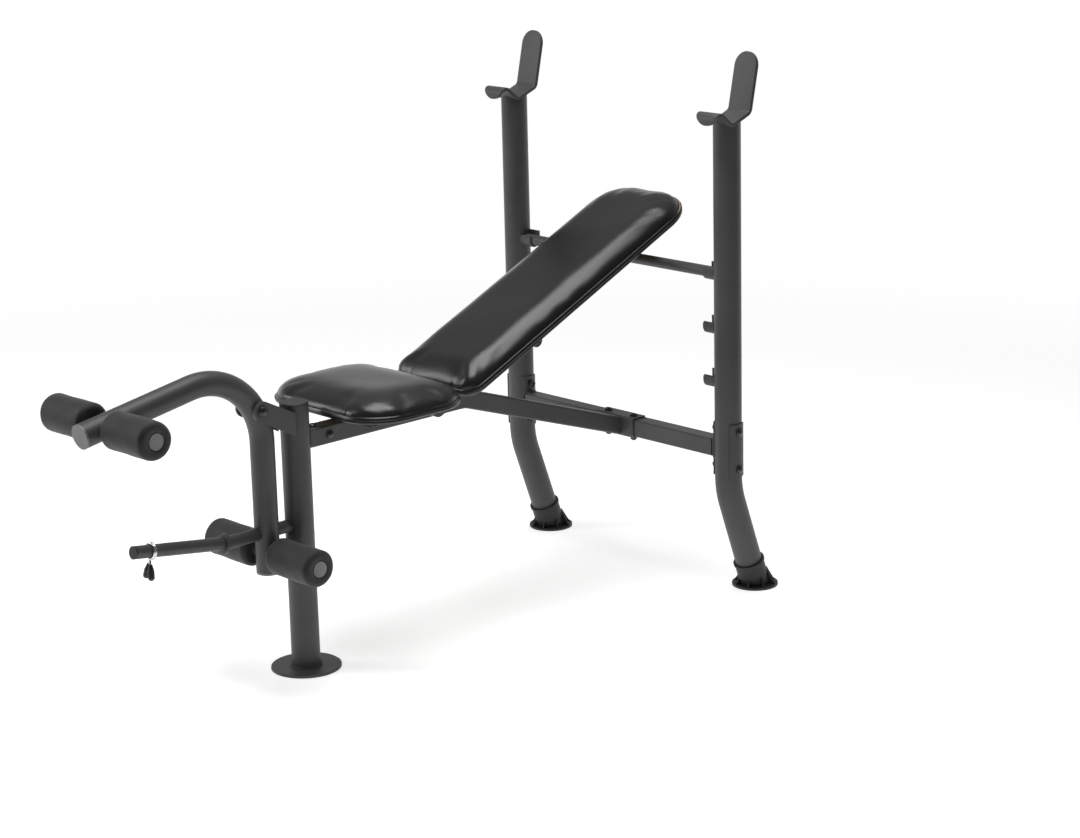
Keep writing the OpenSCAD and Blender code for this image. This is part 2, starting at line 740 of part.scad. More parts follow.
// The backrest's own frame: Y runs up its slope from the pivot, Z is square to the pad
module inclined() translate([0, -back_pivot_fwd, back_pivot_h]) rotate([back_angle, 0, 0]) children();

module side_rail_outline(depth) {
    circle(d = depth, $fn = 64);
    translate([0, -depth / 2]) square([side_rail_l, depth]);
}

module back_rails() {
    inner_depth = back_rail_depth - 4;
    color("dimgray") placed() inclined() difference() {
        for (s = [-1, 1]) across(back_rail_w, s * side_rail_x) side_rail_outline(back_rail_depth);
        for (s = [-1, 1]) across(back_rail_w - 4, s * side_rail_x)
            translate([back_rail_depth / 2 + 4, -inner_depth / 2]) square([side_rail_l, inner_depth]);
        bar_x(-2 * frame_d, 2 * frame_d, 0, 0, pivot_d + 0.12);
        for (s = [-1, 1], run = back_screw_runs) translate([s * side_rail_x, run, -back_rail_depth])
            cylinder(d = 6.5, h = 2 * back_rail_depth, $fn = 24);
    }
}

module back_rail_plugs() {
    color("black") placed() inclined() for (s = [-1, 1]) {
        across(back_rail_w, s * side_rail_x)
            translate([side_rail_l, -back_rail_depth / 2]) square([3, back_rail_depth]);
        across(back_rail_w - 4, s * side_rail_x)
            translate([side_rail_l - 10, -back_rail_depth / 2 + 2]) square([10.5, back_rail_depth - 4]);
    }
}

module back_board() {
    color("burlywood") placed() inclined() translate([0, back_start + board_inset, back_rail_depth / 2])
        linear_extrude(board_t) pad_outline(back_w - 2 * board_inset, back_l - 2 * board_inset,
                                            back_low_r - board_inset, back_top_r - board_inset);
}

module back_pad() {
    color("#141414") placed() inclined() translate([0, back_start, back_rail_depth / 2 + board_t]) {
        linear_extrude(pad_t - board_t - 10) pad_outline(back_w, back_l, back_low_r, back_top_r);
        translate([0, 7, 0]) linear_extrude(pad_t - board_t)
            pad_outline(back_w - 14, back_l - 14, back_low_r - 7, back_top_r - 7);
    }
}

// Screws up through the side rails into the board
module back_screws() {
    color("black") placed() inclined() for (s = [-1, 1], run = back_screw_runs)
        translate([s * side_rail_x, run, -back_rail_depth / 2]) rotate([180, 0, 0]) {
            cylinder(d = 13, h = 1.2, $fn = 24);
            translate([0, 0, 1.2]) cylinder(d1 = 11, d2 = 7, h = 2, $fn = 24);
            translate([0, 0, -back_rail_depth + 0.01]) cylinder(d = 6, h = back_rail_depth, $fn = 24);
        }
}

module back_pivot_bolt() {
    face = side_rail_x + back_rail_w / 2 + seam_gap;
    inner = square_w / 2;
    color("black") placed() translate([0, -back_pivot_fwd, back_pivot_h]) {
        translate([face, 0, 0]) rotate([0, 90, 0]) bolt(pivot_d, 2 * face);
        translate([-face, 0, 0]) rotate([0, -90, 0]) cap_nut(pivot_d);
        for (s = [-1, 1]) translate([s * (inner + back_washer_t / 2 - seam_gap / 2), 0, 0]) rotate([0, 90, 0])
            cylinder(d = 22, h = back_washer_t - seam_gap, center = true);
    }
}

// ---- support bar -----------------------------------------------------------------------------

bar_end_x = side_x - frame_r - 2.5;

module support_bar() {
    color("dimgray") placed() tube_x(-bar_end_x + 2, bar_end_x - 2, 0, hook_top_h, bar_d, bar_d - 4);
}

module support_bar_caps() {
    color("black") placed() for (s = [-1, 1]) translate([s * (bar_end_x - 2), 0, hook_top_h])
        rotate([0, s * 90, 0]) {
            cylinder(d = bar_d, h = 2);
            translate([0, 0, -12]) cylinder(d = bar_d - 4, h = 12.5);
        }
}

// ---- leg developer ---------------------------------------------------------------------------

up_roller = arm_end - up_roller_inset * arm_dir;
low_roller = [0, lever_y, lever_low_h + low_roller_rise];
post_h = lever_low_h + post_rise;
sleeve_r = pivot_d / 2 + 5;
bushing_r = pivot_d / 2 + 2;
sleeve_out = lever_d / 2 + 0.4;

// The lever's solid at a given diameter, each end made longer by extra
module lever_shape(d, extra = 0) {
    translate([0, lever_y, lever_low_h - extra])
        cylinder(d = d, h = lever_bend_h - lever_low_h + extra);
    translate([0, bend_y, lever_bend_h]) rotate([90, 0, 90]) rotate([0, 0, -bend_lap])
        rotate_extrude(angle = lever_bend_angle + 2 * bend_lap)
            translate([lever_bend_r, 0]) circle(d = d + bend_swell);
    translate([0, bend_y, lever_bend_h]) rotate([lever_bend_angle, 0, 0]) translate([0, lever_bend_r, 0])
        cylinder(d = d, h = upper_arm_l + extra);
}

module lever_tube() {
    color("dimgray") placed() difference() {
        union() {
            difference() {
                lever_shape(lever_d);
                lever_shape(lever_d - 2 * lever_wall, 1);
            }
            bar_x(-sleeve_out, sleeve_out, pivot_y, pivot_h, 2 * sleeve_r);
        }
        bar_x(-lever_d, lever_d, pivot_y, pivot_h, 2 * bushing_r);
        bar_x(-lever_d, lever_d, up_roller[1], up_roller[2], roller_tube_d);
        bar_x(-lever_d, lever_d, low_roller[1], low_roller[2], roller_tube_d);
        translate([0, lever_y, post_h]) rotate([90, 0, 0]) cylinder(d = post_d, h = 2 * lever_d, center = true);
    }
}

module lever_end_plugs() {
    inner = lever_d - 2 * lever_wall;
    color("gray") placed() {
        translate([0, lever_y, lever_low_h]) {
            translate([0, 0, -plug_t]) cylinder(d = lever_d, h = plug_t, $fn = 96);
            cylinder(d = inner, h = 10, $fn = 96);
        }
        translate(arm_end) rotate([lever_bend_angle, 0, 0]) {
            cylinder(d = lever_d, h = plug_t, $fn = 96);
            translate([0, 0, -14]) cylinder(d = inner, h = 14, $fn = 96);
        }
    }
}

bushing_l = 20;

// Two flanged nylon bushings in the lever's pivot sleeve; they turn on the bolt
module lever_bushings() {
    flange = plate_in_x - seam_gap - sleeve_out;
    color("white") placed() for (s = [-1, 1]) translate([s * sleeve_out, pivot_y, pivot_h]) rotate([0, s * 90, 0])
        difference() {
            union() {
                translate([0, 0, -bushing_l]) cylinder(r = bushing_r, h = bushing_l + flange);
                cylinder(r = sleeve_r, h = flange);
            }
            translate([0, 0, -2 * bushing_l]) cylinder(d = pivot_d + 0.1, h = 3 * bushing_l);
        }
}

roller_plug_t = 5;
foam_gap = 1;

module roller_tube(p) color("dimgray") placed()
    tube_x(-foam_reach + roller_plug_t, foam_reach - roller_plug_t, p[1], p[2], roller_tube_d, roller_tube_d - 4);

// Grey end plugs: each has a face as wide as the hole in the foam's end and a shank in the tube
module roller_plugs(p) color("gray") placed() for (s = [-1, 1])
    translate([s * (foam_reach - roller_plug_t), p[1], p[2]]) rotate([0, s * 90, 0]) {
        cylinder(d = roller_tube_d + 6, h = roller_plug_t);
        translate([0, 0, -14]) cylinder(d = roller_tube_d - 4, h = 14.5);
    }

// A foam roll from its outer end inwards, its rims rounded, recessed at the outer end for the plug
module foam_roll(p, side) {
    r = foam_d / 2;
    rim = 9;
    bore = roller_tube_d / 2 + 0.05;
    recess = roller_tube_d / 2 + 3 + foam_gap;
    color("#1c1c1c") placed() translate([side * foam_reach, p[1], p[2]]) rotate([0, -side * 90, 0])
        rotate_extrude($fn = 96) difference() {
            union() {
                translate([bore, 0]) square([r - rim - bore, foam_l]);
                translate([bore, rim]) square([r - bore, foam_l - 2 * rim]);
                translate([r - rim, rim]) circle(rim);
                translate([r - rim, foam_l - rim]) circle(rim);
            }
            translate([0, -1]) square([recess, roller_plug_t + 1 + foam_gap]);
        }
}

// ---- weight post and clip --------------------------------------------------------------------

post_bend_y = lever_y - post_level_l;
stop_y = -leg_distance - frame_r;
bumper_t = 5;
clip_r = post_d / 2 + clip_wire_d / 2 + 0.4;
clip_turns = 2;
clip_run = post_load_l - clip_inset;
land_r = post_d / 2 - 0.15;
collar_rise = 4;
root_r = post_d / 2 + 0.5;

// The loading part's own frame: its Z runs up the incline from the bend
module on_post() translate([0, post_bend_y, post_h]) rotate([90 - post_angle, 0, 0]) children();

module weight_post() {
    level_l = stop_y - bumper_t - post_bend_y;
    color("dimgray") placed() difference() {
        union() {
            translate([0, post_bend_y, post_h]) rotate([-90, 0, 0]) cylinder(d = post_d, h = level_l);
            translate([0, post_bend_y, post_h]) sphere(d = post_d);
            on_post() cylinder(r = root_r, h = collar_rise + collar_t);
            on_post() cylinder(d = post_d, h = post_load_l - clip_land_l);
            on_post() cylinder(r = land_r, h = post_load_l);
        }
        on_post() translate([0, 0, 6]) cylinder(d = post_d - 5, h = post_load_l);
    }
}

module post_collar() color("dimgray") placed() on_post() translate([0, 0, collar_rise]) difference() {
    cylinder(d = collar_d, h = collar_t, $fn = 64);
    translate([0, 0, -1]) cylinder(r = root_r, h = collar_t + 2);
}

module post_end_plug() color("black") placed() on_post() translate([0, 0, post_load_l]) {
    cylinder(r = land_r, h = 4);
    translate([0, 0, -14]) cylinder(d = post_d - 5, h = 14.5);
}

// Rubber button between the post's rear end and the leg
module stop_bumper() color("black") placed() difference() {
    translate([0, stop_y - bumper_t, post_h]) rotate([-90, 0, 0]) cylinder(d = post_d, h = frame_r);
    translate([0, -leg_distance, 0]) cylinder(r = frame_r + seam_gap, h = leg_h, $fn = 96);
}

clip_arm_l = 34;
clip_spread = 13;

// Coiled wire ring and its two arms, which hang down into the grips
module clip_spring() {
    color("silver") placed() on_post() translate([0, 0, clip_run]) {
        for (i = [0:clip_turns - 1]) translate([0, 0, (i - (clip_turns - 1) / 2) * clip_wire_d * 0.97])
            rotate_extrude($fn = 64) translate([clip_r, 0]) circle(d = clip_wire_d, $fn = 24);
        for (s = [-1, 1]) translate([s * 3, -clip_r, s * clip_wire_d / 2])
            rotate([90, 0, s * clip_spread]) cylinder(d = clip_wire_d, h = clip_arm_l, $fn = 24);
    }
}

module clip_grips() {
    color("black") placed() on_post() translate([0, 0, clip_run]) for (s = [-1, 1])
        translate([s * 3, -clip_r, s * clip_wire_d / 2]) rotate([90, 0, s * clip_spread]) difference() {
            union() {
                translate([0, 0, 10]) cylinder(d1 = 7, d2 = 13, h = 12, $fn = 32);
                translate([0, 0, 22]) cylinder(d = 13, h = 12, $fn = 32);
                translate([0, 0, 34]) sphere(d = 13, $fn = 32);
            }
            cylinder(d = clip_wire_d, h = clip_arm_l, $fn = 24);
        }
}

module at_side(side) translate([side * side_x, 0, 0]) children();

at_side(-1) upright();  // upright_left
at_side(1) upright();  // upright_right
at_side(-1) cradle();  // cradle_left
at_side(1) cradle();  // cradle_right
bar_hooks(-1);  // bar_hooks_left
bar_hooks(1);  // bar_hooks_right
at_side(-1) foot_cap();  // foot_cap_left
at_side(1) foot_cap();  // foot_cap_right
crossbar();
at_side(-1) saddle(0);  // inner_saddle_left
at_side(1) saddle(180);  // inner_saddle_right
at_side(-1) saddle(180);  // outer_saddle_left
at_side(1) saddle(0);  // outer_saddle_right
upright_bolts();
upright_nuts();
main_rail();
rail_clamp();
rail_clamp_bolts();
rail_clamp_nuts();
front_leg();
front_leg_cap();
front_foot_disc();
rail_stub();
rail_stub_bolts();
lever_pivot_plates();
pivot_bracket_web();
lever_pivot_bolt();
seat_board();
seat_pad();
seat_brackets();
seat_bolts();
back_pivot_bolt();
back_rails();
back_rail_plugs();
back_board();
back_pad();
back_screws();
support_bar();
support_bar_caps();
lever_tube();
lever_end_plugs();
lever_bushings();
roller_tube(up_roller);  // upper_roller_tube
roller_tube(low_roller);  // lower_roller_tube
roller_plugs(up_roller);  // upper_roller_plugs
roller_plugs(low_roller);  // lower_roller_plugs
foam_roll(up_roller, -1);  // upper_roll_left
foam_roll(up_roller, 1);  // upper_roll_right
foam_roll(low_roller, -1);  // lower_roll_left
foam_roll(low_roller, 1);  // lower_roll_right
weight_post();
post_collar();
post_end_plug();
stop_bumper();
clip_spring();
clip_grips();
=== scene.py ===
"""Adjustable weight bench: textured charcoal steel, black vinyl pads, foam rolls and a weight post."""
import json
import bpy
import numpy as np
from math import cos, pi, radians, sin, tan
from mathutils import Matrix, Vector


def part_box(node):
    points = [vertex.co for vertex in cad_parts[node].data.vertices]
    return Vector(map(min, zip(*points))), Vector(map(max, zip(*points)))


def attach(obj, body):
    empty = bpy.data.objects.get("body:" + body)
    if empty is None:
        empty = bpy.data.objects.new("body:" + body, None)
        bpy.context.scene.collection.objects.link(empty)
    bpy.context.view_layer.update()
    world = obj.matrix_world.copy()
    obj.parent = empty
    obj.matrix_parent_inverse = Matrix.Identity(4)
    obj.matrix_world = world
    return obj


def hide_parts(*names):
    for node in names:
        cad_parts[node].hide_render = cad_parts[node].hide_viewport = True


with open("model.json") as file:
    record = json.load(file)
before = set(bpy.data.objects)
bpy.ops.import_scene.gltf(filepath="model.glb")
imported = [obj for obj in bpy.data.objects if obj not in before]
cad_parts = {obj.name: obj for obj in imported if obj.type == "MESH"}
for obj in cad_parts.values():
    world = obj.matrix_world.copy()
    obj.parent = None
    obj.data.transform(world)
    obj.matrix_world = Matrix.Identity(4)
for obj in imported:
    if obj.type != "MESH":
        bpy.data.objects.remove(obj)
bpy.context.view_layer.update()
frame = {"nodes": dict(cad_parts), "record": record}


# ---- camera and room ---------------------------------------------------------------------------

def set_camera(place, azimuth, pitch, roll, lens):
    """Looks along the azimuth (0 is +Y, turning towards -X), tipped down by pitch, turned by roll."""
    a, p, r = radians(azimuth), radians(pitch), radians(roll)
    ahead = Vector((-sin(a) * cos(p), cos(a) * cos(p), -sin(p)))
    right = Vector((cos(a), sin(a), 0.0))
    up = right.cross(ahead)
    x = cos(r) * right + sin(r) * up
    y = -sin(r) * right + cos(r) * up
    camera = bpy.data.objects.new("camera", bpy.data.cameras.new("camera"))
    camera.data.lens, camera.data.sensor_width, camera.data.sensor_fit = lens, 36.0, "HORIZONTAL"
    camera.data.clip_end = 60.0
    camera.matrix_world = Matrix((
        (x[0], y[0], -ahead[0], place[0]), (x[1], y[1], -ahead[1], place[1]),
        (x[2], y[2], -ahead[2], place[2]), (0, 0, 0, 1)))
    bpy.context.scene.collection.objects.link(camera)
    bpy.context.scene.camera = camera


set_camera(place=(3.898, -3.2993, 1.814), azimuth=46.60, pitch=15.01, roll=-1.38, lens=87.7)


# ---- shader writing ----------------------------------------------------------------------------

def operator(operation, reflected=False):
    """A method that adds one Math node; in the reflected form its own value is the second one."""
    def method(self, other):
        a, b = (other, self) if reflected else (self, other)
        return self.finish.node("ShaderNodeMath", {"operation": operation}, {0: a, 1: b})
    return method


class Value:
    """A socket of a finish's node tree; arithmetic on it adds Math nodes."""

    def __init__(self, finish, socket):
        self.finish, self.socket = finish, socket

    __add__, __radd__ = operator("ADD"), operator("ADD", True)
    __sub__, __rsub__ = operator("SUBTRACT"), operator("SUBTRACT", True)
    __mul__, __rmul__ = operator("MULTIPLY"), operator("MULTIPLY", True)

    def ramp(self, low, high):
        """0 below low, 1 above high, and smooth between."""
        return self.finish.node(
            "ShaderNodeMapRange", {"interpolation_type": "SMOOTHSTEP"},
            {"Value": self, "From Min": low, "From Max": high, "To Min": 0.0, "To Max": 1.0})


class Finish:
    """One material, or the room's world. node() adds any node, end() links the shader to the output, and
    close() ends it in a Principled shader."""

    def __init__(self, name, world=None):
        self.material = world or bpy.data.materials.new(name)
        self.material.use_nodes = True
        self.tree = self.material.node_tree
        self.tree.nodes.clear()
        self.place = self.node("ShaderNodeTexCoord", out="Generated" if world else "Object")

    def node(self, kind, settings=None, sockets=None, out=0):
        """A node of that kind: its settings first, then its sockets' values or links."""
        made = self.tree.nodes.new(kind)
        for key, value in (settings or {}).items():
            setattr(made, key, value)
        for key, value in (sockets or {}).items():
            if isinstance(value, Value):
                self.tree.links.new(value.socket, made.inputs[key])
            else:
                made.inputs[key].default_value = value
        return Value(self, made.outputs[out])

    def noise(self, scale, detail=2.0, roughness=0.5, stretch=None, distortion=0.0):
        """Soft cloudy noise from 0 to 1, scale in cells a metre; stretch multiplies the three axes."""
        place = self.place
        if stretch is not None:
            place = self.node("ShaderNodeVectorMath", {"operation": "MULTIPLY"}, {0: place, 1: stretch})
        return self.node("ShaderNodeTexNoise", {}, {
            "Vector": place, "Scale": scale, "Detail": detail, "Roughness": roughness,
            "Distortion": distortion})

    def cells(self, scale):
        """Distance to the nearest of scattered points, scale in cells a metre."""
        return self.node("ShaderNodeTexVoronoi", {"feature": "F1"}, {"Vector": self.place, "Scale": scale})

    def mix(self, share, a, b):
        """The colour a where share is 0 and b where it is 1."""
        made = self.tree.nodes.new("ShaderNodeMix")
        made.data_type = "RGBA"
        self.tree.links.new(share.socket, made.inputs[0])
        for index, colour in ((6, a), (7, b)):
            if isinstance(colour, Value):
                self.tree.links.new(colour.socket, made.inputs[index])
            else:
                made.inputs[index].default_value = (*colour, 1.0)
        return Value(self, made.outputs[2])

    def end(self, shader, kind="ShaderNodeOutputMaterial"):
        """Links the shader to a new output of that kind."""
        out = self.tree.nodes.new(kind)
        self.tree.links.new(shader.socket, out.inputs["Surface"])

    def close(self, colour, roughness, bumps=(), metallic=0.0, **constants):
        """The Principled shader; bumps are (height, depth in metres) pairs, laid over one another."""
        normal = None
        for height, depth in bumps:
            sockets = {"Height": height, "Distance": depth, "Strength": 1.0}
            if normal is not None:
                sockets["Normal"] = normal
            normal = self.node("ShaderNodeBump", {}, sockets)
        sockets = {"Base Color": colour if isinstance(colour, Value) else (*colour, 1.0),
                   "Roughness": roughness, "Metallic": metallic}
        if normal is not None:
            sockets["Normal"] = normal
        sockets.update({key.replace("_", " "): value for key, value in constants.items()})
        self.end(self.node("ShaderNodeBsdfPrincipled", {}, sockets))
        return self.material


def grey(level, warm=0.0):
    """A grey of that level, with warm as the share that its red gains and its blue loses."""
    return (level * (1 + warm), level, level * (1 - warm))


def powder_coat(name, level):
    """Charcoal powder coat: a fine pebbled skin, slightly cloudy, paler where dust has caught."""
    f = Finish(name)
    pebble = f.noise(1500.0, 2.0, 0.6)
    grain = f.noise(420.0, 3.0, 0.55)
    cloud = f.noise(7.0, 3.0)
    speck = f.noise(2600.0, 1.0).ramp(0.62, 0.74)
    shade = f.mix(cloud.ramp(0.3, 0.7), grey(level * 0.88, -0.02), grey(level * 1.14, -0.01))
    shade = f.mix(speck * 0.5, shade, grey(level * 2.1))
    return f.close(shade, 0.40 + grain * 0.16, [(grain, 0.00012), (pebble, 0.00009)],
                   Specular_IOR_Level=0.5)


def moulded_plastic(name, level, roughness=0.48):
    """Moulded plastic: a fine spark-eroded grain and faint flow marks."""
    f = Finish(name)
    grain = f.noise(2200.0, 2.0)
    flow = f.noise(30.0, 3.0, 0.5, (1.0, 1.0, 0.35))
    shade = f.mix(flow.ramp(0.3, 0.7), grey(level * 0.85), grey(level * 1.2))
    return f.close(shade, roughness + grain * 0.1 + flow * 0.06, [(grain, 0.00004), (flow, 0.0002)])


def vinyl(name, level):
    """Black upholstery vinyl: a pebbled leather grain, soft wrinkles and a faint worn sheen."""
    f = Finish(name)
    pebble = f.cells(620.0).ramp(0.05, 0.75)
    hair = f.noise(1700.0, 2.0)
    drape = f.noise(13.0, 2.0, 0.4, (1.0, 0.7, 1.0), 0.4)
    worn = f.noise(5.0, 3.0)
    shade = f.mix(worn.ramp(0.35, 0.7), grey(level * 0.85), grey(level * 1.35))
    return f.close(shade, 0.25 + worn * 0.08 + hair * 0.05,
                   [(drape, 0.0007), (pebble, 0.00006), (hair, 0.00002)],
                   Specular_IOR_Level=0.55)


def foam_skin(name, level):
    """Closed-cell foam with a dull, finely pitted skin."""
    f = Finish(name)
    pits = f.cells(950.0).ramp(0.0, 0.42)
    grain = f.noise(1900.0, 3.0, 0.6)
    dents = f.noise(28.0, 3.0)
    shade = f.mix(dents.ramp(0.3, 0.7), grey(level * 0.8), grey(level * 1.25))
    shade = f.mix(grain.ramp(0.55, 0.75) * 0.35, shade, grey(level * 2.0))
    return f.close(shade, 0.62 + grain * 0.16, [(dents, 0.0008), (pits, 0.00012), (grain, 0.0001)],
                   Sheen_Weight=0.12, Sheen_Roughness=0.5)


def bolt_black(name):
    """Black oxide on steel, lightly rubbed."""
    f = Finish(name)
    rub = f.noise(260.0, 4.0, 0.6)
    shade = f.mix(rub.ramp(0.5, 0.75), grey(0.012), grey(0.04))
    return f.close(shade, 0.26 + rub * 0.12, [(rub, 0.00004)], Specular_IOR_Level=0.6)


def plywood(name):
    """Plywood: long grain along Y over stacked plies seen at the edge."""
    f = Finish(name)
    grain = f.noise(60.0, 4.0, 0.6, (1.0, 0.07, 1.0), 0.4)
    fibre = f.noise(900.0, 2.0, 0.5, (1.0, 0.05, 1.0))
    shade = f.mix(grain.ramp(0.3, 0.7), (0.30, 0.20, 0.11), (0.47, 0.34, 0.20))
    return f.close(shade, 0.62 + fibre * 0.15, [(fibre, 0.00008)])


def bright_wire(name):
    """Nickel-plated spring wire with a few dull patches."""
    f = Finish(name)
    dull = f.noise(300.0, 3.0)
    return f.close(f.mix(dull.ramp(0.4, 0.8), grey(0.72), grey(0.5)), 0.14 + dull * 0.14,
                   [(dull, 0.00002)], metallic=1.0)


def nylon(name):
    """Natural nylon, slightly waxy."""
    f = Finish(name)
    haze = f.noise(60.0, 2.0)
    return f.close(f.mix(haze, (0.62, 0.61, 0.56), (0.74, 0.73, 0.69)), 0.4 + haze * 0.1,
                   [(haze, 0.00005)])


FINISHES = {
    "powder_coat": powder_coat("powder_coat", 0.050),
    "black_cap": moulded_plastic("black_cap", 0.014),
    "black_fastener": bolt_black("black_fastener"),
    "vinyl": vinyl("vinyl", 0.0085),
    "board": plywood("board"),
    "foam": foam_skin("foam", 0.011),
    "grey_plug": moulded_plastic("grey_plug", 0.16, 0.36),
    "nylon": nylon("nylon"),
    "clip_wire": bright_wire("clip_wire"),
    "clip_grip": moulded_plastic("clip_grip", 0.012, 0.4),
}

slot_of = {part["node"]: part["material_slot"] for part in frame["record"]["subparts"]}
for node_name, node in frame["nodes"].items():
    finish = FINISHES[slot_of[node_name]]
    if not node.material_slots:
        node.data.materials.append(finish)
    for held in node.material_slots:
        held.material = finish


# ---- surface making ----------------------------------------------------------------------------

def shade_smooth(mesh):
    mesh.polygons.foreach_set("use_smooth", np.full(len(mesh.polygons), True))


def add_mesh(name, points, faces, finish):
    """A smooth-shaded object of those points and faces, in one finish."""
    mesh = bpy.data.meshes.new(name)
    mesh.from_pydata(points.tolist(), [], [tuple(f) for f in faces])
    mesh.update()
    shade_smooth(mesh)
    mesh.materials.append(FINISHES[finish])
    made = bpy.data.objects.new(name, mesh)
    bpy.context.scene.collection.objects.link(made)
    return made


def grid_faces(rows, columns, wrap_rows):
    """Quads over a grid of points numbered row by row. Each row closes on itself; when the rows wrap,
    the last one also joins the first."""
    i = np.arange(rows if wrap_rows else rows - 1)[:, None]
    j = np.arange(columns)[None, :]
    here, after = i * columns, (i + 1) % rows * columns
    beside = (j + 1) % columns
    return np.stack([here + j, here + beside, after + beside, after + j], -1).reshape(-1, 4)


def outward(points, faces):
    """True when a closed surface's faces point out: the volume they enclose is then positive."""
    a, b, c, d = (points[faces[:, k]] for k in range(4))
    volume = np.einsum("ij,ij->i", a, np.cross(b, c)) + np.einsum("ij,ij->i", a, np.cross(c, d))
    return volume.sum() > 0


def ring_surface(name, grid, finish, body):
    """A closed surface from a grid wrapped in both directions, faced outwards."""
    rows, columns = grid.shape[:2]
    points = grid.reshape(-1, 3)
    faces = grid_faces(rows, columns, True)
    if not outward(points, faces):
        faces = faces[:, ::-1]
    made = add_mesh(name, points, faces, finish)
    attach(made, body)
    return made


def smooth_mask(x, low, high):
    """0 below low, 1 above high, and smooth between."""
    t = np.clip((x - low) / (high - low), 0, 1)
    return t * t * (3 - 2 * t)


def bead(name, path, normal, radius, body, ripples, finish="powder_coat"):
    """A weld bead along a closed path: a round section whose radius is a cosine of the distance along it.
    The section is turned in the plane of the path's normal and its own sideways direction."""
    section_sides, ripple = 10, 0.12
    path = np.asarray(path, float)
    ahead = np.roll(path, -1, 0) - np.roll(path, 1, 0)
    ahead /= np.linalg.norm(ahead, axis=1)[:, None]
    normal = np.broadcast_to(np.asarray(normal, float), path.shape)
    sideways = np.cross(ahead, normal)
    sideways /= np.linalg.norm(sideways, axis=1)[:, None]
    turn = np.linspace(0, 2 * pi, section_sides, endpoint=False)
    run = np.linspace(0, 2 * pi * ripples, len(path), endpoint=False)
    size = radius * (1 + ripple * np.cos(run))
    grid = (path[:, None] + size[:, None, None] * (
        np.cos(turn)[None, :, None] * normal[:, None] + np.sin(turn)[None, :, None] * sideways[:, None]))
    ring_surface(name, grid, finish, body)


def round_corners(width, length, low_r, high_r, inset):
    """A rectangle's outline from its lower edge (y 0) to its upper (y length), each corner a quarter circle.
    inset moves it inwards all round; the corners' radii shrink by as much, down to the sharpest."""
    count, sharpest = 48, 0.004
    w = width / 2 - inset
    turn = np.linspace(0, pi / 2, count)
    parts = []
    for sx, y, r, start in ((1, length - inset, high_r, 0.0), (-1, length - inset, high_r, pi / 2),
                            (-1, inset, low_r, pi), (1, inset, low_r, 1.5 * pi)):
        r = max(r - inset, sharpest)
        middle = (sx * (w - r), y - r if y > length / 2 else y + r)
        parts.append(np.stack([middle[0] + r * np.cos(start + turn),
                               middle[1] + r * np.sin(start + turn)], 1))
    return np.concatenate(parts)


def even_steps(loop, count):
    """The closed loop's points again, at equal distances along it."""
    closed = np.vstack([loop, loop[:1]])
    along = np.concatenate([[0], np.cumsum(np.linalg.norm(np.diff(closed, axis=0), axis=1))])
    at = np.linspace(0, along[-1], count, endpoint=False)
    return np.stack([np.interp(at, along, closed[:, k]) for k in range(closed.shape[1])], 1)


# ---- pads --------------------------------------------------------------------------------------

PAD_RING = 160


class Pad:
    """One pad's sizes in metres: its outline, the height of its upright side, its full depth, how far
    in from the outline its crown reaches, and the place of its lower front edge on its board."""

    def __init__(self, width, length, low_r, high_r, side, depth, crown, place):
        self.width, self.length, self.low_r, self.high_r = width, length, low_r, high_r
        self.side, self.depth, self.crown, self.place = side, depth, crown, place

    def outline(self, inset, count):
        loop = round_corners(self.width, self.length, self.low_r, self.high_r, inset)
        return even_steps(loop, count)

    def placed(self, points):
        turn = np.array(self.place.to_3x3())
        return points @ turn.T + np.array(self.place.to_translation())


def pad_form(pad, start):
    """The pad before it swells: outlines stacked from the underside to the crown. A small round leads to
    the upright side; above that, inset and height follow the superellipse
    (1 - inset / crown)^power + ((height - side) / (depth - side))^power = 1."""
    power, base, underside_inset = 2.2, 0.003, 0.016
    turn = np.linspace(0, pi / 2, 4)
    share = (1 - np.cos(np.linspace(0, pi / 2, 20)))[1:]
    insets = np.concatenate([[underside_inset], base * (1 - np.sin(turn)), pad.crown * share]) + start
    rise = (1 - (1 - share) ** power) ** (1 / power)
    heights = np.concatenate([[0.0], base * (1 - np.cos(turn)), pad.side + (pad.depth - pad.side) * rise])
    points = np.concatenate([np.column_stack([pad.outline(i, PAD_RING), np.full(PAD_RING, h)])
                             for i, h in zip(insets, heights)])
    faces = [tuple(f) for f in grid_faces(len(insets), PAD_RING, False)]
    top = (len(insets) - 1) * PAD_RING
    faces.append(tuple(range(PAD_RING - 1, -1, -1)))
    faces.append(tuple(range(top, top + PAD_RING)))
    return points, faces


def mesh_points(mesh):
    points = np.empty(len(mesh.vertices) * 3)
    mesh.vertices.foreach_get("co", points)
    return points.reshape(-1, 3)


def apply_modifier(made, kind, **settings):
    modifier = made.modifiers.new(kind.lower(), kind)
    for key, value in settings.items():
        setattr(modifier, key, value)
    bpy.context.view_layer.objects.active = made
    bpy.ops.object.modifier_apply(modifier=modifier.name)


